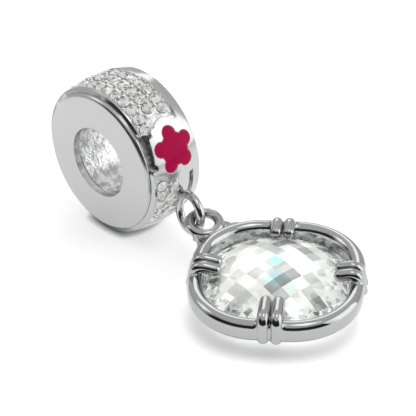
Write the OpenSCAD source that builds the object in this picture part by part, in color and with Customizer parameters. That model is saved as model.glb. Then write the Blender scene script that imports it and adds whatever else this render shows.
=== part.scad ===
// Dangle charm: a barrel-shaped bead with pave bands and an enamel flower,
// and a framed checkerboard-cut stone that hangs from a ring soldered to the bead.
// Millimetres. The origin is the middle of the bore, +Y runs along the bore from
// the front face to the back one, and +Z is up as the charm lies on a table.

/* [Bead] */
// Diameter of the bore
bore_d = 4.8; // [4.4:0.1:5.2]
// Length of the bead along the bore
bead_w = 4.6; // [4.2:0.1:5.2]
// Diameter of the band at its middle
band_d = 10.48; // [10.2:0.02:10.8]
// Width of the raised band between the two end caps
band_w = 3.88; // [3.8:0.02:3.9]
// Radius of the band's crown, seen along its length
crown_r = 9.1; // [7:0.1:14]
// Diameter of the end caps
cap_d = 9.44; // [9:0.04:9.6]
// Radius of the rounded edge of the end caps
cap_edge = 0.3; // [0.15:0.05:0.35]
// Width of the slot between a cap and the band
slot_w = 0.06; // [0.04:0.02:0.1]

/* [Flower] */
// Angle of the flower round the band, from +X towards +Z
flower_at = 24; // [20:1:30]
// Distance of a petal's centre from the flower's centre
petal_out = 1.05; // [0.95:0.01:1.1]
// Radius of a petal
petal_r = 0.54; // [0.4:0.01:0.55]
// Radius of the flower's middle
flower_mid = 1.1; // [1:0.01:1.15]
// Depth of the enamel in the band
enamel_deep = 0.14; // [0.1:0.02:0.2]

/* [Pave] */
// Diameter of a pave stone
pave_d = 0.72; // [0.6:0.02:0.74]
// Angle between two pave stones in a row
pave_step = 8.7; // [8.6:0.1:9.5]
// Depth of the pave ground below the band
pave_deep = 0.16; // [0.1:0.02:0.2]

/* [Ring] */
// Radius of the soldered ring's centre line
ring_r = 1.21; // [1.19:0.01:1.23]
// Radius of the ring's wire
ring_wire = 0.29; // [0.25:0.01:0.3]

/* [Drop] */
// Half of the frame's size at the middle of a side, to the centre line
frame_half = 4.96; // [4.94:0.01:5.02]
// Radius of the frame's corners, to the centre line
frame_corner = 3.95; // [3.9:0.05:4.1]
// Width of the frame's tube
tube_w = 0.98; // [0.9:0.01:1]
// Height of the frame's tube
tube_h = 1.42; // [1.4:0.02:1.5]
// Radius of a prong's wire
prong_wire = 0.39; // [0.35:0.01:0.41]
// Radius of the frame's own loop, to the centre line
loop_r = 0.94; // [0.93:0.01:0.95]
// Radius of the loop's wire
loop_wire = 0.34; // [0.3:0.01:0.35]

/* [Stone] */
// Half of the stone's size at the middle of a side
stone_half = 4.42; // [4.3:0.01:4.44]
// Height of the stone's crown over the frame's middle plane
stone_top = 1.25; // [1.2:0.05:1.3]
// Depth of the stone's point under the frame's middle plane
stone_point = 2; // [1.7:0.05:2]
// Side of one facet of the checkerboard
check = 0.8; // [0.7:0.02:1.2]

/* [Hidden] */
$fn = 96;

// Small clearance between a stone or the enamel and its seat
fit = 0.02;
// Bead
bore_r = bore_d / 2;
band_r = band_d / 2;
cap_r = cap_d / 2;
slot_r = 4.35;
seam_y = bead_w / 2 - 0.47;
seam_w = 0.07;
seam_deep = 0.06;
// The band's smooth strip starts here, behind the pave
strip_y = 1.27;
// The thin border in front of the pave
border_y = -1.8;
// Open window between the front cap, the pave and the flower's plate
window_from = 14.5;
window_to = 42.5;
window_y = -1.2;
window_r = 4.5;
window_gap_r = 4.15;
plate_t = 0.24;
// Flower's plate
plate_out = 1.2;
plate_lobe = 0.95;
plate_mid = 1.7;
plate_front = -1.7;
plate_slant = 7;
flower_y = 0.08;
petal_turn = -2;
// Pave fields, as angles round the band
top_from = 43.6;
top_to = 230;
side_from = -38;
side_to = 10;
row_front = -1.36;
row_middle = -0.35;
row_back = 0.65;
pave_crown = 0.11;
pave_under = 0.3;
// Stones near the ring's foot, as [angle, y]
side_stones = [
    [0.5, row_front], [-8.2, row_front], [-16.9, row_front], [-25.6, row_front], [-34.3, row_front],
    [-4.2, row_middle], [-12.6, -0.6], [-21.3, -0.6], [-30, -0.6]];
// Ring: its middle, and the direction of its axis as a turn and a lean
ring_at = [5.87, 0.26, -2.31];
ring_turn = 80.1;
ring_lean = -5.4;
// Drop: the frame's middle, its tilt and its turn
drop_at = [13.99, -0.09, -3.2];
drop_tilt = [2.3, 1, 0];
drop_turn = 39.3;
corner_c = frame_half - frame_corner;
// The frame's own loop: its middle, its tilt and the way it tilts
loop_at = [7.28, 0.19, -2.44];
loop_tilt = 13;
loop_turn = -37;
// Web that flows from the loop into the tube, with a rounded fillet on each side
web_r = 0.9;
web_z = -3.02;
web_t = 0.5;
// Prong wires: up the tube's side, a quarter bend and on to the stone, leaning inwards,
// with a height, a lean and a reach for each of the four sides
prong_proud = 0.19;
prong_x = frame_half + tube_w / 2 + prong_proud - prong_wire;
prong_low = -0.38;
prong_bend = 0.52;
prong_bend_z = [0.44, 0.17, 0.44, 0.45];
prong_lean = [14, 5, 14, 3];
prong_reach = [3.9, 3.97, 3.79, 3.4];
seat_lip = 0.14;
seat_z = -0.76;
seat_t = 0.12;
// Stone
dome = 0.07;
// Shift of the checkerboard from the middle of the dome, along its own two directions
check_shift = [-0.28, -0.14];
rim_z = -0.38;
rim_slope = 1.6;
girdle_low = -0.52;
pavilion_r = 2.7;
pavilion_z = -1.42;

// Radius of the band's surface at y
function band_at(y) = sqrt(crown_r ^ 2 - y ^ 2) - crown_r + band_r;

// Turns a profile in (radius, y) round the bore, from one angle to another
module sector(from, to) {
    rotate([-90, 0, 0]) rotate([0, 0, -to]) rotate_extrude(angle = to - from) children();
}

module turned() {
    rotate([-90, 0, 0]) rotate_extrude() children();
}

// Carries its children to the band's surface: +Z outwards, +X towards smaller angles
module on_band(angle, y) {
    rotate([0, 90 - angle, 0]) translate([0, y, band_at(y)]) rotate([-asin(y / crown_r), 0, 0]) children();
}

// Half-plane of the band, less a depth, between two values of y
module band_section(deep, y_from, y_to, r_from = 3.5) {
    intersection() {
        translate([band_r - crown_r - deep, 0]) circle(r = crown_r, $fn = 256);
        translate([r_from, y_from]) square([3, y_to - y_from]);
    }
}

module lobes(count, out, r, turn) {
    for (i = [0 : count - 1]) rotate(turn + i * 360 / count) translate([out, 0]) circle(r = r);
}

// Outline of the enamel: u towards larger angles, v along y
module flower_outline(grow = 0) {
    circle(r = flower_mid + grow);
    lobes(5, petal_out, petal_r + grow, petal_turn);
}

module plate_outline() {
    intersection() {
        union() {
            circle(r = plate_mid);
            lobes(5, plate_out, plate_lobe, petal_turn);
        }
        translate([0, plate_front]) rotate(plate_slant) translate([-3, 0]) square([6, 4]);
    }
}

// A block of an outline, as a bar that points out of the band at the flower
module flower_bar(from = 3) {
    rotate([0, 90 - flower_at, 0]) translate([0, flower_y, from])
        linear_extrude(4) mirror([1, 0]) children();
}

// Pave stones: round cut with a table, seated with the girdle at the pave ground
module pave_stone() {
    girdle = -pave_crown;
    translate([0, 0, girdle])
        cylinder(h = pave_crown - 0.02, r1 = pave_d / 2, r2 = pave_d * 0.29, $fn = 8);
    translate([0, 0, girdle - pave_under])
        cylinder(h = pave_under, r1 = 0.03, r2 = pave_d / 2, $fn = 8);
}

module pave_seat() {
    translate([0, 0, -pave_crown - pave_under - 0.05]) cylinder(h = 1, r = pave_d / 2 + fit);
}

module top_places() {
    for (i = [0 : 20]) on_band(45.3 + i * pave_step, row_front) children();
    for (i = [0 : 18]) on_band(58.35 + i * pave_step, row_middle) children();
    for (i = [0 : 19]) on_band(54 + i * pave_step, row_back) children();
}

module side_places() {
    for (s = side_stones) on_band(s[0], s[1]) children();
}

module bead_blank() {
    turned() difference() {
        union() {
            translate([bore_r, -bead_w / 2]) square([slot_r - bore_r, bead_w]);
            band_section(0, -band_w / 2, band_w / 2);
            translate([slot_r - 0.1, -bead_w / 2]) square([cap_r - cap_edge - slot_r + 0.1, cap_edge]);
            translate([slot_r - 0.1, bead_w / 2 - cap_edge])
                square([cap_r - cap_edge - slot_r + 0.1, cap_edge]);
            for (s = [-1, 1]) intersection() {
                translate([cap_r - cap_edge, s * (bead_w / 2 - cap_edge)]) circle(r = cap_edge);
                translate([cap_r - cap_edge, s > 0 ? bead_w / 2 - cap_edge : -bead_w / 2])
                    square([cap_edge, cap_edge]);
            }
        }
        for (s = [-1, 1]) translate([bore_r - 0.1, s * seam_y - seam_w / 2])
            square([0.1 + seam_deep, seam_w]);
    }
}

module pave_cut(from, to) {
    difference() {
        sector(from, to) difference() {
            translate([4, border_y]) square([2, strip_y - border_y]);
            band_section(pave_deep, -2.5, 2.5);
        }
        flower_bar() plate_outline();
    }
}

// The open window in front of the flower's plate, with the space under the plate's edge
module window_cut() {
    slot_y = -band_w / 2 - slot_w / 2;
    under_r = band_r - plate_t;
    difference() {
        sector(window_from, window_to)
            translate([under_r - 0.05, slot_y]) square([1.5, window_y + 0.05 - slot_y]);
        flower_bar() plate_outline();
    }
    sector(window_from + 0.4, window_to - 0.4) polygon([
        [window_r, slot_y], [window_r, window_y - 0.2], [window_gap_r, window_y - 0.2],
        [window_gap_r, window_y], [under_r, window_y], [under_r, slot_y]]);
    sector(window_to - 3.5, window_to - 0.8)
        translate([window_gap_r + 0.04, -1.78]) square([0.5, 0.45]);
}

module ring() {
    translate(ring_at) rotate([0, 90 - ring_lean, ring_turn])
        rotate_extrude() translate([ring_r, 0]) circle(r = ring_wire, $fn = 48);
}

module bead_body() {
    color("silver") union() {
        difference() {
            bead_blank();
            pave_cut(top_from, top_to);
            pave_cut(side_from, side_to);
            window_cut();
            intersection() {
                flower_bar(4) flower_outline();
                turned() difference() {
                    translate([4, -2.2]) square([2, 4.4]);
                    band_section(enamel_deep, -2.5, 2.5);
                }
            }
            top_places() pave_seat();
            side_places() pave_seat();
        }
        ring();
    }
}

module enamel_flower() {
    color("crimson") intersection() {
        flower_bar(4) flower_outline(-fit);
        turned() difference() {
            band_section(0.02, -2.2, 2.2);
            band_section(enamel_deep - fit, -2.5, 2.5);
        }
    }
}

module pave_top() {
    color("whitesmoke") top_places() pave_stone();
}

module pave_side() {
    color("whitesmoke") side_places() pave_stone();
}

// Carries its children into the drop's own frame: +X right, +Y back, +Z out of the stone
module in_drop() {
    translate(drop_at) rotate(drop_tilt) rotate([0, 0, drop_turn]) children();
}

module tube_section() {
    flat = tube_h - tube_w;
    for (s = [-1, 1]) translate([0, s * flat / 2]) circle(r = tube_w / 2);
    square([tube_w, flat], center = true);
}

module seat_section() {
    translate([-tube_w / 2 - seat_lip, seat_z]) square([seat_lip + 0.35, seat_t]);
}

// A closed cushion path: four corner arcs and four short straight sides
module cushion() {
    for (i = [0 : 3]) rotate(90 * i) {
        translate([corner_c, corner_c, 0])
            rotate_extrude(angle = 90) translate([frame_corner, 0]) children();
        translate([frame_half, corner_c, 0]) rotate([90, 0, 0]) linear_extrude(2 * corner_c) children();
    }
}

module prong_wire_shape(bend_z, lean, reach) {
    rise = bend_z - prong_low;
    bend_x = prong_x - prong_bend * cos(lean) - rise * sin(lean);
    leg = (bend_x - reach - prong_bend * sin(lean)) / cos(lean);
    translate([bend_x, 0, bend_z]) rotate([0, -lean, 0]) {
        translate([prong_bend, 0, -rise]) sphere(r = prong_wire);
        translate([prong_bend, 0, -rise]) cylinder(h = rise, r = prong_wire);
        rotate([90, 0, 0]) rotate_extrude(angle = 90) translate([prong_bend, 0]) circle(r = prong_wire);
        translate([0, 0, prong_bend]) rotate([0, -90, 0]) cylinder(h = leg, r = prong_wire);
        translate([-leg, 0, prong_bend]) sphere(r = prong_wire);
    }
}

module prong_pair(i) {
    for (s = [-1, 1]) translate([0, s * prong_wire * 1.02, 0])
        prong_wire_shape(prong_bend_z[i], prong_lean[i], prong_reach[i]);
}

module drop_loop() {
    translate(loop_at) rotate([0, loop_tilt, loop_turn])
        rotate_extrude() translate([loop_r, 0]) circle(r = loop_wire, $fn = 48);
}

// Middle of a circle that touches two others from outside, on one side of the line between them
function touching(a, ra, b, rb, r, side) = let (d = norm(b - a), e = (b - a) / d,
    u = (d ^ 2 + (ra + r) ^ 2 - (rb + r) ^ 2) / (2 * d), v = sqrt((ra + r) ^ 2 - u ^ 2))
    a + u * e + side * v * [-e[1], e[0]];

module loop_web() {
    a = [loop_at[0], loop_at[1]];
    b = [drop_at[0], drop_at[1]] + corner_c * sqrt(2) * [cos(drop_turn + 135), sin(drop_turn + 135)];
    f = [for (s = [-1, 1]) touching(a, loop_r + loop_wire, b, frame_corner + tube_w / 2, web_r, s)];
    translate([0, 0, web_z]) linear_extrude(web_t) difference() {
        polygon([a, f[0], b, f[1]]);
        translate(f[0]) circle(r = web_r);
        translate(f[1]) circle(r = web_r);
        translate(a) circle(r = loop_r);
        translate(b) circle(r = frame_corner);
    }
}

module drop_frame() {
    color("silver") union() {
        in_drop() union() {
            cushion() tube_section();
            cushion() seat_section();
            for (i = [0 : 3]) rotate(90 * i) prong_pair(i);
        }
        drop_loop();
        loop_web();
    }
}

// Outline of the stone: the cushion path, drawn in by the tube
module stone_outline(inset) {
    for (i = [0 : 3]) rotate(90 * i) {
        translate([corner_c, corner_c]) circle(r = frame_corner - inset, $fn = 48);
        translate([0, -corner_c]) square([frame_half - inset, 2 * corner_c]);
    }
}

// Checkerboard crown: planes that touch one dome, so that every facet is a flat square
module checker_crown() {
    n = 8;
    m = 2 * n + 1;
    function line_at(i, k) = (i - n) * check + check_shift[k];
    function node_at(i, j) = let (x = line_at(i, 0), y = line_at(j, 1))
        [x, y, stone_top - dome * (x ^ 2 + y ^ 2 - check ^ 2 / 2)];
    top = [for (i = [0 : m - 1]) for (j = [0 : m - 1]) node_at(i, j)];
    last = m - 1;
    floor_z = -8;
    base = [for (c = [[0, 0], [last, 0], [last, last], [0, last]])
        [line_at(c[0], 0), line_at(c[1], 1), floor_z]];
    b = len(top);
    quads = [for (i = [0 : last - 1]) for (j = [0 : last - 1])
        [i * m + j, i * m + j + 1, (i + 1) * m + j + 1, (i + 1) * m + j]];
    rims = [
        concat([for (i = [0 : last]) i * m], [b + 1, b]),
        concat([for (j = [0 : last]) last * m + j], [b + 2, b + 1]),
        concat([for (i = [last : -1 : 0]) i * m + last], [b + 3, b + 2]),
        concat([for (j = [last : -1 : 0]) j], [b, b + 3])];
    rotate(45) polyhedron(
        points = concat(top, base), faces = concat(quads, rims, [[b, b + 1, b + 2, b + 3]]));
}

// The stone's facetted rim, girdle and underside with two tiers of facets
module stone_blank() {
    inset = frame_half - stone_half;
    rim_in = 1.4;
    hull() {
        translate([0, 0, rim_z + rim_in * rim_slope]) linear_extrude(0.01) stone_outline(inset + rim_in);
        translate([0, 0, girdle_low]) linear_extrude(rim_z - girdle_low) stone_outline(inset);
        translate([0, 0, pavilion_z]) rotate(22.5) cylinder(h = 0.01, r = pavilion_r, $fn = 8);
        translate([0, 0, -stone_point]) cylinder(h = 0.01, r = 0.3, $fn = 8);
    }
}

module drop_stone() {
    color("white") in_drop() intersection() {
        checker_crown();
        stone_blank();
    }
}

bead_body();
enamel_flower();
pave_top();
pave_side();
drop_frame();
drop_stone();
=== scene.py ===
# %% [markdown]
# # Dressing a dangle charm
# The charm is a polished bead with a band of small set stones, an enamel flower on a smooth plate, and a
# ring that carries a large checkerboard-cut stone in a tube frame. The exact metal and stone shapes come
# from the CAD model. This lesson adds what the CAD leaves out: grains of metal between the small stones,
# the enamel's rim, finishes, light and the camera.

import math

import bmesh
import bpy
from mathutils import Matrix, Vector


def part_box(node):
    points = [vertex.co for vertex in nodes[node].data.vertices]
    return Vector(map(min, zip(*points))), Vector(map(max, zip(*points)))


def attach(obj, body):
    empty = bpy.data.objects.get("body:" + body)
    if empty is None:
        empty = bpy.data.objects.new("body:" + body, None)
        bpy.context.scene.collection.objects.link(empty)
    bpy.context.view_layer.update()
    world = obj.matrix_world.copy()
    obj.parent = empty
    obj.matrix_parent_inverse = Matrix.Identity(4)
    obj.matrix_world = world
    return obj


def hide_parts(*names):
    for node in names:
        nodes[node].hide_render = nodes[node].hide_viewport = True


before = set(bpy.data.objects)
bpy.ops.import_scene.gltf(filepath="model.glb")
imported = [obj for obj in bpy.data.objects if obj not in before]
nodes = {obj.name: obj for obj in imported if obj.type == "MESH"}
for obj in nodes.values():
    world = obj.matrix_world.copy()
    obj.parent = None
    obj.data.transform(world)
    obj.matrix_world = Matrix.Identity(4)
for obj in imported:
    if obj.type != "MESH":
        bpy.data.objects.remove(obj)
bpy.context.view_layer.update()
print("CAD nodes:", {name: len(obj.data.polygons) for name, obj in nodes.items()})

# %% [markdown]
# ## Three small helpers
# Blender works in metres and in linear light. The drawing of a charm is in millimetres, and colours are
# picked as hex values off a screen, so one number and one function turn them. A second function adds a
# shader node with its settings and links, because every finish below is a short chain of such nodes, and a
# third starts a material.

# %% Helpers
MM = 0.001


def srgb(hex_colour):
    """A hex colour as linear values for a shader, with no transparency."""
    parts = [int(hex_colour[i:i + 2], 16) / 255 for i in (1, 3, 5)]
    return [p / 12.92 if p <= 0.04045 else ((p + 0.055) / 1.055) ** 2.4 for p in parts] + [1.0]


def add(tree, kind, sockets=None, steps=(), **settings):
    """Adds a node. sockets maps its inputs to values, or to nodes or outputs that are linked in.

    steps are a ramp's positions and colours: each colour holds from its position on, with no blend.
    """
    made = tree.nodes.new(kind)
    for name, value in settings.items():
        setattr(made, name, value)
    for name, value in (sockets or {}).items():
        if isinstance(value, bpy.types.Node):
            value = value.outputs[0]
        if isinstance(value, bpy.types.NodeSocket):
            tree.links.new(value, made.inputs[name])
        else:
            made.inputs[name].default_value = value
    if steps:
        made.color_ramp.interpolation = "CONSTANT"
        made.color_ramp.elements.remove(made.color_ramp.elements[1])
    for i, (position, colour) in enumerate(steps):
        stop = made.color_ramp.elements.new(position) if i else made.color_ramp.elements[0]
        stop.color = srgb(colour)
    return made


def new_material(name):
    """An empty material, its Principled shader and its tree."""
    made = bpy.data.materials.new(name)
    made.use_nodes = True
    shader = made.node_tree.nodes["Principled BSDF"]
    return made, made.node_tree, shader


print("1 mm is", MM, "m; mid grey #808080 is", round(srgb("#808080")[0], 3), "in linear light")

# %% [markdown]
# ## Masks from sizes
# Some finishes change from place to place on one casting, such as a polished cap and a bore left as cast.
# They could be painted by hand, or each surface could be its own material. Here a few sizes from the
# drawing say where each begins, which is exact and keeps one finish for one casting.

# %% A mask
MASK_STEP_MM = 0.02


def between(tree, value, low, high, soft=MASK_STEP_MM):
    """1 where a length in metres lies from low to high in mm, 0 outside, with a soft step."""
    up = add(tree, "ShaderNodeMapRange", {
        "Value": value, "From Min": (low - soft) * MM, "From Max": (low + soft) * MM})
    down = add(tree, "ShaderNodeMapRange", {
        "Value": value, "From Min": (high + soft) * MM, "From Max": (high - soft) * MM})
    return add(tree, "ShaderNodeMath", {0: up, 1: down}, operation="MULTIPLY")


print("a mask fades over", 2 * MASK_STEP_MM, "mm")

# %% [markdown]
# ## Rhodium-plated silver
# Sterling silver is cast, tumbled, polished on a wheel and plated with rhodium, which is a little greyer
# than bare silver and doesn't tarnish. The eye sees a mirror with faint waves from the wheel, a slightly
# uneven gloss, and soft bright lines where each edge has been rounded by polishing. Where no wheel reaches,
# the casting keeps its skin: a fine pebbled surface that acid has left in duller and paler patches.
# All of this could be cut into the mesh, at the cost of millions of faces. The relief is so shallow that
# bump nodes draw it as well, and the Bevel node rounds the edges and leaves the mesh as it is.

# %% The finish of the metal
EDGE_MM = 0.05
WAVE_MM, WAVE_DEEP_MM = 0.9, 0.02
# a casting's grain is three or four times finer, too fine to show
SKIN_MM, SKIN_DEEP_MM, SKIN_BUMP = 0.2, 0.06, 0.9
SKIN_ROUGHNESS = 0.3
SKIN_DULL, SKIN_PALE = "#BFBFBF", "#F0F0F0"
PATCH_MM, WIPING_MM = 0.5, 1.6
# frosted silver scatters light like matt white, so it mirrors little
FROSTED_METALLIC = 0.15


def polished_metal(name, colour, gloss_low, gloss_high, skin_mask):
    """Plated silver, polished all over but for what skin_mask says.

    skin_mask gives where there is cast skin, where the metal is less than polished, how deep its waves are,
    and where it is frosted, or None if it is frosted nowhere.
    """
    made, tree, shader = new_material(name)
    place = add(tree, "ShaderNodeTexCoord").outputs["Object"]
    cast_skin, unpolished, wave_depth, frosted = skin_mask(tree, place)

    waves = add(tree, "ShaderNodeTexNoise", {
        "Vector": place, "Scale": 1 / (WAVE_MM * MM), "Detail": 2.0, "Roughness": 0.45})
    rounded = add(tree, "ShaderNodeBevel", {"Radius": EDGE_MM * MM}, samples=6)
    waved = add(tree, "ShaderNodeBump", {
        "Strength": wave_depth, "Distance": WAVE_DEEP_MM * MM, "Height": waves, "Normal": rounded})
    skin = add(tree, "ShaderNodeTexNoise", {
        "Vector": place, "Scale": 1 / (SKIN_MM * MM), "Detail": 2.0, "Roughness": 0.6})
    skin_depth = add(tree, "ShaderNodeMath", {0: cast_skin, 1: SKIN_BUMP}, operation="MULTIPLY")
    pebbled = add(tree, "ShaderNodeBump", {
        "Strength": skin_depth, "Distance": SKIN_DEEP_MM * MM, "Height": skin, "Normal": waved})

    wiping = add(tree, "ShaderNodeTexNoise", {
        "Vector": place, "Scale": 1 / (WIPING_MM * MM), "Detail": 3.0})
    gloss = add(tree, "ShaderNodeMapRange", {
        "Value": wiping, "From Min": 0.35, "From Max": 0.65, "To Min": gloss_low, "To Max": gloss_high})
    roughness = add(tree, "ShaderNodeMix", {"Factor": unpolished, "A": gloss, "B": SKIN_ROUGHNESS})

    patches = add(tree, "ShaderNodeTexNoise", {
        "Vector": place, "Scale": 1 / (PATCH_MM * MM), "Detail": 3.0})
    pale = add(tree, "ShaderNodeMapRange", {"Value": patches, "From Min": 0.4, "From Max": 0.56})
    pickled = add(tree, "ShaderNodeMix", {
        "Factor": pale, 6: srgb(SKIN_DULL), 7: srgb(SKIN_PALE)}, data_type="RGBA")
    tone = add(tree, "ShaderNodeMix", {
        "Factor": cast_skin, 6: srgb(colour), 7: pickled.outputs[2]}, data_type="RGBA")

    tree.links.new(tone.outputs[2], shader.inputs["Base Color"])
    tree.links.new(roughness.outputs[0], shader.inputs["Roughness"])
    tree.links.new(pebbled.outputs[0], shader.inputs["Normal"])
    shader.inputs["Metallic"].default_value = 1.0
    if frosted is not None:
        metallic = add(tree, "ShaderNodeMath", {
            0: frosted, 1: FROSTED_METALLIC - 1, 2: 1.0}, operation="MULTIPLY_ADD")
        tree.links.new(metallic.outputs[0], shader.inputs["Metallic"])
    print(name, len(tree.nodes), "nodes")
    return made


# %% [markdown]
# ## Where the bead stays unpolished
# The bore keeps its cast skin behind a polished lip, and so does the ground round the small stones. The
# sunk floor of the open window beside the flower is frosted, which the eye reads as an even grey. The
# rounded edges of the two caps are only satin, so that they mirror a soft line and not a sharp one. The
# bead is turned round its bore, so each place is found by its distance from the bore's middle line, its
# place along the bore and its angle round it.

# %% Sizes of the bead, in millimetres, and angles in degrees
BORE_R_MM = 2.4
# the bore is polished from the front face to here
LIP_Y_MM = -1.8
# radius of the band in its middle, radius of its crown along the bore, and where it ends
BAND_R_MM = 5.24
CROWN_R_MM = 9.1
BAND_END_MM = 1.92
# the ground round the small stones lies this deep in the band, and their seats end above the second depth
GROUND_DEEP_MM, SEAT_DEEP_MM = 0.16, 0.6
# the window's floor: its radius, and its place along the bore
WINDOW_R_MM, WINDOW_Y_MM = (4.1, 4.6), (-1.95, -1.2)
# each cap's rounded edge is part of a tube: its ring's radius and place along the bore, and its own radius
CAP_RING_R_MM, CAP_RING_Y_MM, CAP_EDGE_MM = 4.42, 2.0, 0.3
SATIN = 0.55
# the flower's plate and the small field of stones below it: middle and half width round the bore
FLOWER_ANGLES = 24.7, 18.5
SIDE_FIELD_ANGLES = -17, 24
# the small field's ground ends here, and behind it the band is polished
SIDE_FIELD_END_MM = 0.1
print("bore", 2 * BORE_R_MM, "mm, band", 2 * BAND_R_MM, "mm")

# %% The window and the ground round the small stones


def window_mask(tree, radius, y, by_flower):
    """The frosted floor of the open window."""
    floor = add(tree, "ShaderNodeMath", {
        0: between(tree, radius, *WINDOW_R_MM), 1: between(tree, y, *WINDOW_Y_MM)}, operation="MULTIPLY")
    return add(tree, "ShaderNodeMath", {0: floor, 1: by_flower}, operation="MULTIPLY")


def ground_mask(tree, radius, y, angle, by_flower):
    """The ground round the small stones, which is sunk below the band's crown."""
    # the crown's radius falls with the square of y
    y_squared = add(tree, "ShaderNodeMath", {0: y, 1: y}, operation="MULTIPLY")
    crown = add(tree, "ShaderNodeMath", {
        0: y_squared, 1: -0.5 / (CROWN_R_MM * MM), 2: BAND_R_MM * MM}, operation="MULTIPLY_ADD")
    depth = add(tree, "ShaderNodeMath", {0: crown, 1: radius}, operation="SUBTRACT")
    ground = add(tree, "ShaderNodeMath", {
        0: between(tree, depth, GROUND_DEEP_MM / 2, SEAT_DEEP_MM),
        1: between(tree, y, -BAND_END_MM, BAND_END_MM)}, operation="MULTIPLY")
    off_flower = add(tree, "ShaderNodeMath", {0: 1.0, 1: by_flower}, operation="SUBTRACT")
    ground = add(tree, "ShaderNodeMath", {0: ground, 1: off_flower}, operation="MULTIPLY")
    # below the flower only the front half of the band carries stones
    middle, half = (math.radians(a) for a in SIDE_FIELD_ANGLES)
    by_side_field = add(tree, "ShaderNodeMath", {0: angle, 1: middle, 2: half}, operation="COMPARE")
    bare = add(tree, "ShaderNodeMath", {
        0: by_side_field, 1: between(tree, y, SIDE_FIELD_END_MM, BAND_END_MM)}, operation="MULTIPLY")
    covered = add(tree, "ShaderNodeMath", {0: 1.0, 1: bare}, operation="SUBTRACT")
    return add(tree, "ShaderNodeMath", {0: ground, 1: covered}, operation="MULTIPLY")


print("the ground lies", GROUND_DEEP_MM, "mm under the band's crown")

# %% The bead's metal
# depth of the wheel's waves on polished metal and on cast skin, as a share of their full depth
POLISHED_WAVES, SKIN_WAVES = 0.1, 0.2


def bead_mask(tree, place):
    """Cast skin in the bore, on the ground and in the window, satin cap edges, and a frosted window."""
    split = add(tree, "ShaderNodeSeparateXYZ", {0: place})
    x, y, z = split.outputs
    flat = add(tree, "ShaderNodeCombineXYZ", {0: x, 2: z})
    radius = add(tree, "ShaderNodeVectorMath", {0: flat}, operation="LENGTH").outputs["Value"]
    angle = add(tree, "ShaderNodeMath", {0: z, 1: x}, operation="ARCTAN2")
    middle, half = (math.radians(a) for a in FLOWER_ANGLES)
    by_flower = add(tree, "ShaderNodeMath", {0: angle, 1: middle, 2: half}, operation="COMPARE")

    # from inside the bore to a little way into the metal, and from the lip to past the back face
    in_bore = add(tree, "ShaderNodeMath", {
        0: between(tree, radius, 2, BORE_R_MM + 0.08), 1: between(tree, y, LIP_Y_MM, 3)},
        operation="MULTIPLY")
    ground = ground_mask(tree, radius, y, angle, by_flower)
    frosted = window_mask(tree, radius, y, by_flower)
    cast_skin = add(tree, "ShaderNodeMath", {0: in_bore, 1: ground}, operation="MAXIMUM")
    cast_skin = add(tree, "ShaderNodeMath", {0: cast_skin, 1: frosted}, operation="MAXIMUM")
    wave_depth = add(tree, "ShaderNodeMath", {
        0: cast_skin, 1: SKIN_WAVES - POLISHED_WAVES, 2: POLISHED_WAVES}, operation="MULTIPLY_ADD")

    # the cap edges, each from just inside its ring to just past its own radius
    from_middle = add(tree, "ShaderNodeMath", {0: y}, operation="ABSOLUTE")
    cap_edge = add(tree, "ShaderNodeMath", {
        0: between(tree, radius, CAP_RING_R_MM - 0.02, CAP_RING_R_MM + CAP_EDGE_MM + 0.08),
        1: between(tree, from_middle, CAP_RING_Y_MM - 0.03, CAP_RING_Y_MM + CAP_EDGE_MM + 0.1)},
        operation="MULTIPLY")
    satin = add(tree, "ShaderNodeMath", {0: cap_edge, 1: SATIN}, operation="MULTIPLY")
    unpolished = add(tree, "ShaderNodeMath", {0: cast_skin, 1: satin}, operation="MAXIMUM")
    return cast_skin, unpolished, wave_depth, frosted


silver = polished_metal(
    "rhodium_plated_silver", "#C2C2C3", gloss_low=0.11, gloss_high=0.18, skin_mask=bead_mask)

# %% [markdown]
# ## The drop's frame
# The drop's tube is polished to a sharper mirror than the bead and has deeper waves, because such a thin
# casting shrinks unevenly. The wall inside it, behind the stone, is only tumbled. The drop lies turned and
# tilted on the table, so its mask can't be read off the plain axes. The piece could be laid flat for that,
# but it has to stay where the CAD model has it, so a Mapping node turns each place back instead.

# %% The drop's own directions
# middle of the drop's stone, how the drop lies, and the middle of a corner's arc
DROP_AT_MM = Vector((13.99, -0.09, -3.2))
CORNER_C_MM = 1.01
drop_turned = (Matrix.Rotation(math.radians(1), 4, "Y") @ Matrix.Rotation(math.radians(2.3), 4, "X")
               @ Matrix.Rotation(math.radians(39.3), 4, "Z"))


def around_drop(tree, place):
    """The place in the drop's own directions, and how far it lies from the middle of a corner's arc."""
    turned = add(tree, "ShaderNodeMapping", {
        "Vector": place, "Location": DROP_AT_MM * MM, "Rotation": drop_turned.to_euler("XYZ")},
        vector_type="TEXTURE")
    # the stone is a square with round corners, so only what lies past the corner's middle counts
    off = add(tree, "ShaderNodeVectorMath", {0: turned}, operation="ABSOLUTE")
    corner = (CORNER_C_MM * MM, CORNER_C_MM * MM, 1)
    off = add(tree, "ShaderNodeVectorMath", {0: off, 1: corner}, operation="SUBTRACT")
    off = add(tree, "ShaderNodeVectorMath", {0: off, 1: (0, 0, 0)}, operation="MAXIMUM")
    reach = add(tree, "ShaderNodeVectorMath", {0: off}, operation="LENGTH").outputs["Value"]
    return turned, reach


print("drop at", tuple(round(v, 2) for v in DROP_AT_MM), "mm")

# %% The drop's metal
# the wall inside the frame: its distance from the corner's middle, and its height beside the stone's middle
INNER_WALL_MM, INNER_HEIGHT_MM = (3.3, 3.68), (-1, 0.42)
TUMBLED_SKIN = 0.3
TUBE_WAVES, WALL_WAVES = 0.4, 1.0


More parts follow.
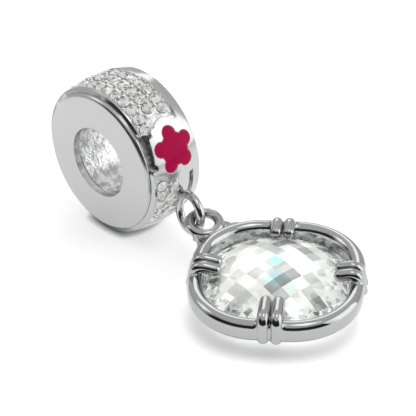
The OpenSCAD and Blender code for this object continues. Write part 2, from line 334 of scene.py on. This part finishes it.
def drop_mask(tree, place):
    """A hint of cast skin and deeper waves on the inner wall of the frame."""
    turned, reach = around_drop(tree, place)
    height = add(tree, "ShaderNodeSeparateXYZ", {0: turned}).outputs[2]
    inner = add(tree, "ShaderNodeMath", {
        0: between(tree, reach, *INNER_WALL_MM), 1: between(tree, height, *INNER_HEIGHT_MM)},
        operation="MULTIPLY")
    cast_skin = add(tree, "ShaderNodeMath", {0: inner, 1: TUMBLED_SKIN}, operation="MULTIPLY")
    wave_depth = add(tree, "ShaderNodeMath", {
        0: inner, 1: WALL_WAVES - TUBE_WAVES, 2: TUBE_WAVES}, operation="MULTIPLY_ADD")
    return cast_skin, cast_skin, wave_depth, None


# the base colour is a painted shade: the same plated silver as the bead, drawn darker to stand in for the
# darker surroundings that the frame mirrors
drop_silver = polished_metal(
    "rhodium_plated_drop", "#B4B4B5", gloss_low=0.03, gloss_high=0.08, skin_mask=drop_mask)

# %% [markdown]
# ## Burnished grains
# The grains that hold the small stones are pressed with a hollow steel tool, which burnishes them and
# leaves a few marks. They could share the bead's finish, but the eye sees them as brighter than the caps,
# so they get a finish of their own: a burnished gloss, and a paler colour that is a painted highlight.

# %% The grains' metal
grain_silver, tree, shader = new_material("burnished_grains_painted_pale")
place = add(tree, "ShaderNodeTexCoord").outputs["Object"]
marks = add(tree, "ShaderNodeTexNoise", {"Vector": place, "Scale": 1 / (SKIN_MM * MM)})
gloss = add(tree, "ShaderNodeMapRange", {"Value": marks, "To Min": 0.08, "To Max": 0.22})
tree.links.new(gloss.outputs[0], shader.inputs["Roughness"])
# painted highlight: paler than the bead's plated silver
shader.inputs["Base Color"].default_value = srgb("#EFEFEF")
shader.inputs["Metallic"].default_value = 1.0
print("metals:", silver.name, drop_silver.name, grain_silver.name)

# %% [markdown]
# ## Crimson enamel
# Cold enamel is poured into the flower's recess and cured. It is a dense dyed resin with a glassy top, and
# it climbs the metal wall in a thin line of a browner red. Its colour drifts a little where the layer is
# thinner. It could be a clear coat over a red ground, but the real one is dyed through. White light comes
# from all round and would wash the red out, so the specular level is kept low.

# %% The enamel
# the dye drifts slowly over the petals, and faster along the thin line at the wall
DRIFT_MM, RIM_DRIFT_MM = 0.8, 0.3

enamel, tree, shader = new_material("crimson_enamel")
place = add(tree, "ShaderNodeTexCoord").outputs["Object"]
drift = add(tree, "ShaderNodeTexNoise", {"Vector": place, "Scale": 1 / (DRIFT_MM * MM), "Detail": 2.0})
tone = add(tree, "ShaderNodeMix", {
    "Factor": drift, 6: srgb("#AE0046"), 7: srgb("#C0044E")}, data_type="RGBA")
tree.links.new(tone.outputs[2], shader.inputs["Base Color"])
shader.inputs["Roughness"].default_value = 0.16
shader.inputs["IOR"].default_value = 1.5
shader.inputs["Specular IOR Level"].default_value = 0.06

enamel_rim, tree, shader = new_material("enamel_rim")
place = add(tree, "ShaderNodeTexCoord").outputs["Object"]
drift = add(tree, "ShaderNodeTexNoise", {"Vector": place, "Scale": 1 / (RIM_DRIFT_MM * MM), "Detail": 2.0})
tone = add(tree, "ShaderNodeMix", {
    "Factor": drift, 6: srgb("#A82C3A"), 7: srgb("#C8604A")}, data_type="RGBA")
tree.links.new(tone.outputs[2], shader.inputs["Base Color"])
shader.inputs["Roughness"].default_value = 0.2
print("enamel:", enamel.name, "and", enamel_rim.name)

# %% [markdown]
# ## Cubic zirconia
# Both kinds of stone are cubic zirconia, cut and polished. It bends light far more than glass does, with an
# index of 2.16, so the facets mirror what stands round them and the light that goes in comes back out at
# the top. Polish marks are too fine to see at this size, so the gloss is near perfect. A real stone sends
# most of its light back out of its crown after many bounces. A render could follow them all, slowly; here a
# weak glow, which is painted light, stands in for them. Each facet also shows a different part of the light
# below, and that is painted too: each check of the crown gets a painted reflection, a tone drawn by chance.

CHECK_MM = 0.8
CHECK_SHIFT_MM = Vector((-0.28, -0.14, 0))
# another offset draws other tones for the same checks
CHANCE_OFFSET = (23, 11, 0)

checks_turned = drop_turned @ Matrix.Rotation(math.radians(45), 4, "Z")
checks_start = (DROP_AT_MM + checks_turned @ CHECK_SHIFT_MM) * MM

clear_stone, tree, shader = new_material("cubic_zirconia")
place = add(tree, "ShaderNodeTexCoord").outputs["Object"]
in_checks = add(tree, "ShaderNodeMapping", {
    "Vector": place, "Location": checks_start, "Rotation": checks_turned.to_euler("XYZ"),
    "Scale": (CHECK_MM * MM,) * 3}, vector_type="TEXTURE")
flat = add(tree, "ShaderNodeVectorMath", {0: in_checks, 1: (1, 1, 0)}, operation="MULTIPLY")
cell = add(tree, "ShaderNodeVectorMath", {0: flat}, operation="FLOOR")
draw = add(tree, "ShaderNodeVectorMath", {0: cell, 1: CHANCE_OFFSET})
chance = add(tree, "ShaderNodeTexWhiteNoise", {"Vector": draw}, noise_dimensions="2D")
# painted reflections: each check of the crown gets a tone by chance
shade = add(tree, "ShaderNodeValToRGB", {0: chance.outputs["Value"]}, steps=[
    (0, "#8F9191"), (0.07, "#C1C3C2"), (0.24, "#E6E7E5"), (0.46, "#FFFFFE")])
print("checks of", CHECK_MM, "mm on the crown")

# %% Painted broken reflections of the facets below
# painted reflections: seen through the crown they are pieces of half a millimetre, and painted dark specks
# near the girdle
BROKEN_MM, SPECK_MM = 0.62, 0.27
# distance from a corner's middle at which the pieces start to show, and at which the specks start
PIECES_FROM_MM, SPECKS_FROM_MM = 0.6, 2.4

in_drop, reach = around_drop(tree, place)
broken = add(tree, "ShaderNodeTexVoronoi", {
    "Vector": in_drop, "Scale": 1 / (BROKEN_MM * MM), "Randomness": 0.9})
specks = add(tree, "ShaderNodeTexVoronoi", {"Vector": in_drop, "Scale": 1 / (SPECK_MM * MM)})
broken_chance = add(tree, "ShaderNodeSeparateXYZ", {0: broken.outputs["Color"]})
pieces = add(tree, "ShaderNodeValToRGB", {0: broken_chance}, steps=[
    (0, "#6F7171"), (0.1, "#B4B6B5"), (0.3, "#E6E7E5"), (0.55, "#FFFFFE")])
speck_chance = add(tree, "ShaderNodeSeparateXYZ", {0: specks.outputs["Color"]})
dots = add(tree, "ShaderNodeValToRGB", {0: speck_chance}, steps=[
    (0, "#343636"), (0.11, "#9A9E9E"), (0.3, "#FFFFFF")])
outwards = add(tree, "ShaderNodeMapRange", {
    "Value": reach, "From Min": PIECES_FROM_MM * MM, "From Max": SPECKS_FROM_MM * MM,
    "To Min": 0.05, "To Max": 0.6})
at_girdle = add(tree, "ShaderNodeMath", {
    0: between(tree, reach, SPECKS_FROM_MM, 9, soft=0.25), 1: 0.9}, operation="MULTIPLY")
colour = add(tree, "ShaderNodeMix", {
    0: outwards, 6: shade, 7: pieces}, data_type="RGBA", blend_type="MULTIPLY")
colour = add(tree, "ShaderNodeMix", {
    0: at_girdle, 6: colour.outputs[2], 7: dots}, data_type="RGBA", blend_type="MULTIPLY")
print("pieces of", BROKEN_MM, "mm and specks of", SPECK_MM, "mm")

# %% Painted coloured flashes, then the stone's shader
# painted reflections: as a cut stone splits white light, one check is painted pale blue and one faintly
# green, and one is painted nearly black
FLASHES = [((0, 0), "#8CEBF4"), ((-1, -2), "#6E7071"), ((-1, -3), "#E6FAEC")]
CZ_IOR = 2.16

for (column, row), flash in FLASHES:
    off = add(tree, "ShaderNodeVectorMath", {0: cell, 1: (column, row, 0)}, operation="DISTANCE")
    here = add(tree, "ShaderNodeMath", {0: off.outputs["Value"], 1: 0.5}, operation="LESS_THAN")
    colour = add(tree, "ShaderNodeMix", {
        0: here, 6: colour.outputs[2], 7: srgb(flash)}, data_type="RGBA")
tree.links.new(colour.outputs[2], shader.inputs["Base Color"])
# painted light: the crown glows in its painted tones, in place of the light a real stone sends back
tree.links.new(colour.outputs[2], shader.inputs["Emission Color"])
shader.inputs["Emission Strength"].default_value = 0.25
shader.inputs["Roughness"].default_value = 0.0
shader.inputs["Transmission Weight"].default_value = 0.5
shader.inputs["IOR"].default_value = CZ_IOR
print(clear_stone.name, len(tree.nodes), "nodes")

# %% The small stones
# their facets are a fifth of a millimetre across, so each shows as one painted glint, a dark, grey or
# bright fleck of painted reflection, and the polish differs a little from stone to stone
GLINT_MM, POLISH_MM = 0.2, 0.6

pave_stone, tree, shader = new_material("pave_zirconia")
place = add(tree, "ShaderNodeTexCoord").outputs["Object"]
polish = add(tree, "ShaderNodeTexNoise", {"Vector": place, "Scale": 1 / (POLISH_MM * MM), "Detail": 1.0})
gloss = add(tree, "ShaderNodeMapRange", {"Value": polish, "To Min": 0.02, "To Max": 0.08})
tree.links.new(gloss.outputs[0], shader.inputs["Roughness"])
glints = add(tree, "ShaderNodeTexVoronoi", {"Vector": place, "Scale": 1 / (GLINT_MM * MM)})
glint_chance = add(tree, "ShaderNodeSeparateXYZ", {0: glints.outputs["Color"]})
colour = add(tree, "ShaderNodeValToRGB", {0: glint_chance}, steps=[
    (0, "#7E7E7C"), (0.12, "#CFCFCD"), (0.35, "#EEEEEC"), (0.7, "#FFFFFC")])
tree.links.new(colour.outputs[0], shader.inputs["Base Color"])
tree.links.new(colour.outputs[0], shader.inputs["Emission Color"])
# painted light: the stones glow weakly in their painted flecks
shader.inputs["Emission Strength"].default_value = 0.11
shader.inputs["Transmission Weight"].default_value = 0.5
shader.inputs["IOR"].default_value = CZ_IOR
print("stones bend light with an index of", CZ_IOR)

# %% [markdown]
# ## Merged copies of the CAD metal
# A CAD node arrives as loose triangles. Round surfaces could be cut finer until their facets vanish, but
# smooth shading does the same without more faces. So a copy is merged and shaded smooth while real corners
# stay sharp, and the copy then stands for the node. The cut stones keep their flat facets.

# %% Copies of the CAD nodes
SMOOTH_UP_TO = math.radians(32)
# corners closer than this are one
MERGE_MM = 0.0004


def finish_mesh(name, work, materials):
    """A bmesh becomes an object on the charm's one body."""
    mesh = bpy.data.meshes.new(name)
    work.to_mesh(mesh)
    work.free()
    for material in materials:
        mesh.materials.append(material)
    piece = bpy.data.objects.new(name, mesh)
    bpy.context.scene.collection.objects.link(piece)
    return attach(piece, "root")


def merged_copy(node_name):
    """A bmesh of a CAD node whose loose triangles share their corners."""
    work = bmesh.new()
    work.from_mesh(nodes[node_name].data)
    bmesh.ops.remove_doubles(work, verts=work.verts, dist=MERGE_MM * MM)
    return work


def dress(node_name, piece_name, material, smooth=True):
    """A merged copy with its finish, in place of the CAD node."""
    piece = finish_mesh(piece_name, merged_copy(node_name), [material])
    if smooth:
        piece.data.shade_smooth()
        piece.data.set_sharp_from_angle(angle=SMOOTH_UP_TO)
    else:
        piece.data.shade_flat()
    # a loose triangle may still ask for a slot of the CAD node's own
    for face in piece.data.polygons:
        face.material_index = 0
    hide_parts(node_name)
    print(piece_name, len(piece.data.polygons), "faces")
    return piece


bead = dress("bead_body", "silver_bead", silver)
dress("drop_frame", "silver_drop_frame", drop_silver)
big_stone = dress("drop_stone", "checkerboard_stone", clear_stone, smooth=False)
# a clear stone lets the light through to the wall and the table below it
big_stone.visible_shadow = False
dress("pave_top", "pave_stones_top", pave_stone, smooth=False)
dress("pave_side", "pave_stones_side", pave_stone, smooth=False)

# %% [markdown]
# ## Clean reflections on turned surfaces
# Smooth shading takes the mean of the faces at each corner. Long thin triangles, as round a window in a
# bore, make that mean crooked, and a mirror shows it as streaks. The mesh could be cut again into even
# faces, but the bead's bore, band and cap edges are turned shapes, whose true direction at any point is
# simple to work out. So their corners get that direction, and no vertex moves.

# %% Exact normals
# a corner belongs to a surface when it lies this close to it
NEAR_MM = 0.006


def radius_of(at):
    """How far a place lies from the bore's middle line, in mm."""
    return math.hypot(at.x, at.z) / MM


def away_from(at, ring_r, ring_y):
    """From the nearest point of a circle round the bore, with its radius and its y in mm, to a place."""
    side = Vector((at.x, 0, at.z)).normalized()
    return side * (radius_of(at) - ring_r) + Vector((0, at.y / MM - ring_y, 0))


def exact_normals(piece, surfaces):
    """Faces of the bore, or on one of the turned surfaces, get its own direction at their corners."""
    mesh = piece.data
    normals = [corner.vector.copy() for corner in mesh.corner_normals]
    changed = 0
    for face in mesh.polygons:
        places = [mesh.vertices[v].co for v in face.vertices]
        if max(abs(radius_of(at) - BORE_R_MM) for at in places) < NEAR_MM:
            for loop, at in zip(face.loop_indices, places):
                normals[loop] = -Vector((at.x, 0, at.z)).normalized()
            changed += 1
            continue
        for ring_r, ring_y, size in surfaces:
            arms = [away_from(at, ring_r, ring_y) for at in places]
            if max(abs(arm.length - size) for arm in arms) > NEAR_MM:
                continue
            side = 1 if sum(arms, Vector()).dot(face.normal) > 0 else -1
            for loop, arm in zip(face.loop_indices, arms):
                normals[loop] = side * arm.normalized()
            changed += 1
            break
    mesh.normals_split_custom_set(normals)
    print(piece.name, changed, "faces on known surfaces")


crown_ring_r = BAND_R_MM - CROWN_R_MM
exact_normals(bead, [
    (crown_ring_r, 0, CROWN_R_MM),
    (crown_ring_r, 0, CROWN_R_MM - GROUND_DEEP_MM),
    (CAP_RING_R_MM, -CAP_RING_Y_MM, CAP_EDGE_MM),
    (CAP_RING_R_MM, CAP_RING_Y_MM, CAP_EDGE_MM)])

# %% [markdown]
# ## The enamel's rim
# The enamel stands a hair below the plate and turns up at its wall. The line along its edge could be a mask
# in the shader, but an inset of the copied top face follows the petals exactly, and the narrow band it
# leaves takes the rim's finish. The petals also grow by the CAD's fit of 0.02 mm, so that the resin meets
# the metal.

# %% Enamel
RIM_MM, RIM_DEEP_MM = 0.06, 0.015
# the petals' growth, as a share of the way from the flower's middle
GROW_BY = 0.018
# a face counts as the top where its normal is within about 45 degrees of straight out
TOP_FACING = 0.7

work = merged_copy("enamel_flower")
work.normal_update()
middle = (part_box("enamel_flower")[0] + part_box("enamel_flower")[1]) / 2
outwards = Vector((middle.x, 0, middle.z)).normalized()
for vert in work.verts:
    off = vert.co - middle
    vert.co += GROW_BY * (off - off.dot(outwards) * outwards)
top = [f for f in work.faces if f.normal.dot(outwards) > TOP_FACING]
bmesh.ops.inset_region(work, faces=top, thickness=RIM_MM * MM, depth=-RIM_DEEP_MM * MM,
                       use_even_offset=True, use_boundary=True)
inner = set(top)
for face in work.faces:
    face.material_index = 0 if face in inner else 1
    face.smooth = face in inner
flower = finish_mesh("enamel_petals", work, [enamel, enamel_rim])
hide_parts("enamel_flower")
print("enamel:", len(flower.data.polygons), "faces")

# %% [markdown]
# ## Grains between the set stones
# A setter raises small beads of metal from the ground and pushes them over the stones' edges. They catch
# the light as bright specks between the rows. They could be scattered by chance, but on the real bead they
# stand where stones meet, so a loop sets them from the angles of the drawing. Each is a sphere of eighty
# small faces with its foot in the ground.

# %% Where a grain stands
# angle between two stones of a row, and the angle of each row's first stone
STEP = 8.7
FRONT_ROW, MIDDLE_ROW, BACK_ROW = 45.3, 58.35, 54
GRAIN_R_MM, EDGE_GRAIN_R_MM, SIDE_GRAIN_R_MM = 0.13, 0.1, 0.11
# depth of a grain's middle below the band's crown, a little above the ground
GRAIN_SUNK_MM = 0.1


def on_band(angle, y, sink):
    """A point on the band in metres: angle round the bore from +X towards +Z, y along it, sink below it."""
    r = math.sqrt(CROWN_R_MM ** 2 - y ** 2) - CROWN_R_MM + BAND_R_MM - sink
    a = math.radians(angle)
    return Vector((r * math.cos(a), y, r * math.sin(a))) * MM


def grain(work, angle, y, r_mm):
    """Adds one grain to a bmesh."""
    made = bmesh.ops.create_icosphere(work, subdivisions=2, radius=r_mm * MM)
    bmesh.ops.translate(work, verts=made["verts"], vec=on_band(angle, y, GRAIN_SUNK_MM))


print("a row has a grain every", STEP, "degrees")

# %% Pave grains
# first angle, how many, y, radius
top_rows = [
    (FRONT_ROW + STEP / 2, 20, -1.0, GRAIN_R_MM), (MIDDLE_ROW - STEP / 2, 19, -0.72, GRAIN_R_MM),
    (MIDDLE_ROW + STEP / 2, 18, -0.02, GRAIN_R_MM), (BACK_ROW + STEP / 2, 19, 0.3, GRAIN_R_MM),
    (FRONT_ROW + STEP / 2, 20, -1.68, EDGE_GRAIN_R_MM), (BACK_ROW + STEP / 2, 19, 1.02, EDGE_GRAIN_R_MM),
]
# the small field below the flower is listed one by one: angle and y of each grain
side_grains = [
    (-3.85, -1.68), (-12.55, -1.68), (-21.25, -1.68), (-29.95, -1.68), (-3.85, -0.98), (-12.5, -1.0),
    (-21.2, -1.0), (-29.9, -1.0), (0, -0.7), (-8.4, -0.6), (-17, -0.65), (-25.6, -0.65), (-34, -0.7),
    (-8.2, -0.05), (-16.9, -0.1), (-25.6, -0.1), (0.5, -0.2),
]

work = bmesh.new()
for first, count, y, r_mm in top_rows:
    for i in range(count):
        grain(work, first + i * STEP, y, r_mm)
for angle, y in side_grains:
    grain(work, angle, y, SIDE_GRAIN_R_MM)
for face in work.faces:
    face.smooth = True
grains = finish_mesh("pave_grains", work, [grain_silver])
print("grains:", len(grains.data.polygons), "faces")

# %% [markdown]
# ## The table
# Small bright metal is shot on a white table of matt acrylic, which shows a soft grain and no reflections.
# Close under the metal the table gets hardly any light, which draws a thin dark line along the outline. The
# lamps' own shade is too wide and weak for that line, so an Ambient Occlusion node paints shade into the
# table's colour and glow where something stands close over it. The drop's frame is held further above the
# table than the foot of the bead, so this painted shade reaches further there, set by the place along x.
# Far off the table is painted darker, as if the light fell away, and edges turned to the horizon mirror a
# greyer table.

# %% The table's finish
FLOOR_Z = -5.245
# the painted shade's reach under the bead and under the drop, and where along x it changes
BEAD_SHADE_MM, DROP_SHADE_MM = 0.55, 1.45
SHADE_FROM_MM, SHADE_TO_MM = 6, 10
SHADE_POWER = 1.3
FALL_FROM_MM, FALL_TO_MM, FAR_LIGHT = 34, 90, 0.55
# matt acrylic has a finer grain than this, too fine to show
TABLE_GRAIN_MM = 0.4

floor_paint, tree, shader = new_material("white_table")
place = add(tree, "ShaderNodeTexCoord").outputs["Object"]
grainy = add(tree, "ShaderNodeTexNoise", {"Vector": place, "Scale": 1 / (TABLE_GRAIN_MM * MM)})
tone = add(tree, "ShaderNodeMix", {
    "Factor": grainy, 6: srgb("#F4F4F4"), 7: srgb("#F8F8F8")}, data_type="RGBA").outputs[2]
along = add(tree, "ShaderNodeSeparateXYZ", {0: place})
reach = add(tree, "ShaderNodeMapRange", {
    "Value": along, "From Min": SHADE_FROM_MM * MM, "From Max": SHADE_TO_MM * MM,
    "To Min": BEAD_SHADE_MM * MM, "To Max": DROP_SHADE_MM * MM})
close = add(tree, "ShaderNodeAmbientOcclusion", {"Color": tone, "Distance": reach}, samples=8)
shut = add(tree, "ShaderNodeMath", {0: close.outputs["AO"], 1: SHADE_POWER}, operation="POWER")
# painted light: the table is painted darker far off
far = add(tree, "ShaderNodeVectorMath", {0: place}, operation="LENGTH").outputs["Value"]
lit = add(tree, "ShaderNodeMapRange", {
    "Value": far, "From Min": FALL_FROM_MM * MM, "From Max": FALL_TO_MM * MM,
    "To Min": 1.0, "To Max": FAR_LIGHT})
light = add(tree, "ShaderNodeMath", {0: shut, 1: lit}, operation="MULTIPLY")
shaded = add(tree, "ShaderNodeMix", {
    0: 1.0, 6: tone, 7: light}, data_type="RGBA", blend_type="MULTIPLY")
tree.links.new(shaded.outputs[2], shader.inputs["Base Color"])
tree.links.new(light.outputs[0], shader.inputs["Emission Color"])
shader.inputs["Roughness"].default_value = 0.7
shader.inputs["Emission Strength"].default_value = 0.45
print(floor_paint.name, len(tree.nodes), "nodes")

# %% The table
work = bmesh.new()
bmesh.ops.create_grid(work, x_segments=1, y_segments=1, size=0.5)
bmesh.ops.translate(work, verts=work.verts, vec=(0, 0, FLOOR_Z * MM))
mesh = bpy.data.meshes.new("table_top")
work.to_mesh(mesh)
work.free()
mesh.materials.append(floor_paint)
table_top = bpy.data.objects.new("table_top", mesh)
bpy.context.scene.collection.objects.link(table_top)
print("table at", FLOOR_Z, "mm")

# %% [markdown]
# ## The tent
# Polished metal has no colour of its own and shows what stands round it. A white tent gives it white on all
# sides, and a dark opening on the camera's side draws the black lines that make it read as metal. The tent
# could be built of white sheets. Here the world is the tent, which has no seams and no shadows of its own:
# a pale wall, a whiter top, and the opening, which ends below the top.

# %% World
TENT_WALL, TENT_TOP, TENT_OPENING = 0.62, 0.72, 0.03
# the direction of the opening, how far round it reaches, and the height at which it ends
CAMERA_SIDE = (0.588, -0.809, 0.0)
OPENING_ROUND = 0.15, 0.35
OPENING_HEIGHT = 0.6, 0.74

world = bpy.data.worlds.new("tent")
bpy.context.scene.world = world
world.use_nodes = True
tree = world.node_tree
look = add(tree, "ShaderNodeTexCoord").outputs["Generated"]
height = add(tree, "ShaderNodeSeparateXYZ", {0: look}).outputs[2]
cloth = add(tree, "ShaderNodeMapRange", {
    "Value": height, "From Min": 0.2, "From Max": 0.8, "To Min": TENT_WALL, "To Max": TENT_TOP})
facing = add(tree, "ShaderNodeVectorMath", {0: look, 1: CAMERA_SIDE}, operation="DOT_PRODUCT")
across = add(tree, "ShaderNodeMapRange", {
    "Value": facing.outputs["Value"], "From Min": OPENING_ROUND[0], "From Max": OPENING_ROUND[1]})
over = add(tree, "ShaderNodeMapRange", {
    "Value": height, "From Min": OPENING_HEIGHT[0], "From Max": OPENING_HEIGHT[1],
    "To Min": 1.0, "To Max": 0.0})
opening = add(tree, "ShaderNodeMath", {0: across, 1: over}, operation="MULTIPLY")
light = add(tree, "ShaderNodeMix", {"Factor": opening, "A": cloth, "B": TENT_OPENING})
tree.links.new(light.outputs[0], tree.nodes["Background"].inputs["Color"])
print("tent:", len(tree.nodes), "nodes")

# %% [markdown]
# ## Soft lamps
# The tent alone lights evenly. Four square softboxes add the broad highlights on the bead's band, the frame
# and the crown of the stone. They could be bright patches of the world, but a lamp's size and place are
# easier to set, and it casts a shadow.

# %% Lamps
# all lamps point at a place between the bead and the drop
LAMPS_AIM = Vector((0.006, 0, 0))


def lamp(name, azimuth, elevation, away, size, radiance):
    """A soft square lamp: where it stands in degrees, how far away and how wide in metres, how bright."""
    a, e = math.radians(azimuth), math.radians(elevation)
    data = bpy.data.lights.new(name, "AREA")
    data.size, data.energy = size, radiance * math.pi * size ** 2
    made = bpy.data.objects.new(name, data)
    way = Vector((math.sin(a) * math.cos(e), -math.cos(a) * math.cos(e), math.sin(e)))
    made.location = LAMPS_AIM + away * way
    made.rotation_euler = (LAMPS_AIM - made.location).to_track_quat("-Z", "Y").to_euler()
    bpy.context.scene.collection.objects.link(made)


# azimuth, elevation, distance, width, brightness
lamp("back_softbox", 226, 32, 0.3, 0.14, 1.1)
lamp("right_softbox", 126, 20, 0.3, 0.3, 1.2)
lamp("left_softbox", -60, 40, 0.3, 0.1, 1.2)
lamp("top_softbox", 100, 78, 0.35, 0.12, 1.6)

# %% [markdown]
# ## Camera
# The photograph was taken from far off with a long lens, looking down at 34 degrees. The camera could be
# moved by eye until the outlines agree. Here its place comes from a fit to the outlines of the bore, the
# bead and the frame, which settles the sizes as well.

# %% Camera
CAMERA_AT = Vector((83.307, -72.534, 69.479)) * MM
CAMERA_AIM = Vector((3.144, 4.474, -5.245)) * MM
ROLL = math.radians(-0.53)

camera_data = bpy.data.cameras.new("camera")
camera_data.lens, camera_data.sensor_width = 173.2, 36.0
camera_data.clip_start, camera_data.clip_end = 0.01, 10.0
camera = bpy.data.objects.new("camera", camera_data)
turned = (CAMERA_AIM - CAMERA_AT).to_track_quat("-Z", "Y").to_matrix().to_4x4()
camera.matrix_world = Matrix.Translation(CAMERA_AT) @ turned @ Matrix.Rotation(ROLL, 4, "Z")
bpy.context.scene.collection.objects.link(camera)
bpy.context.scene.camera = camera
bpy.context.scene.view_settings.view_transform = "Standard"
print("camera", round((CAMERA_AIM - CAMERA_AT).length / MM), "mm from the charm")

# %% End
print("the charm is dressed")
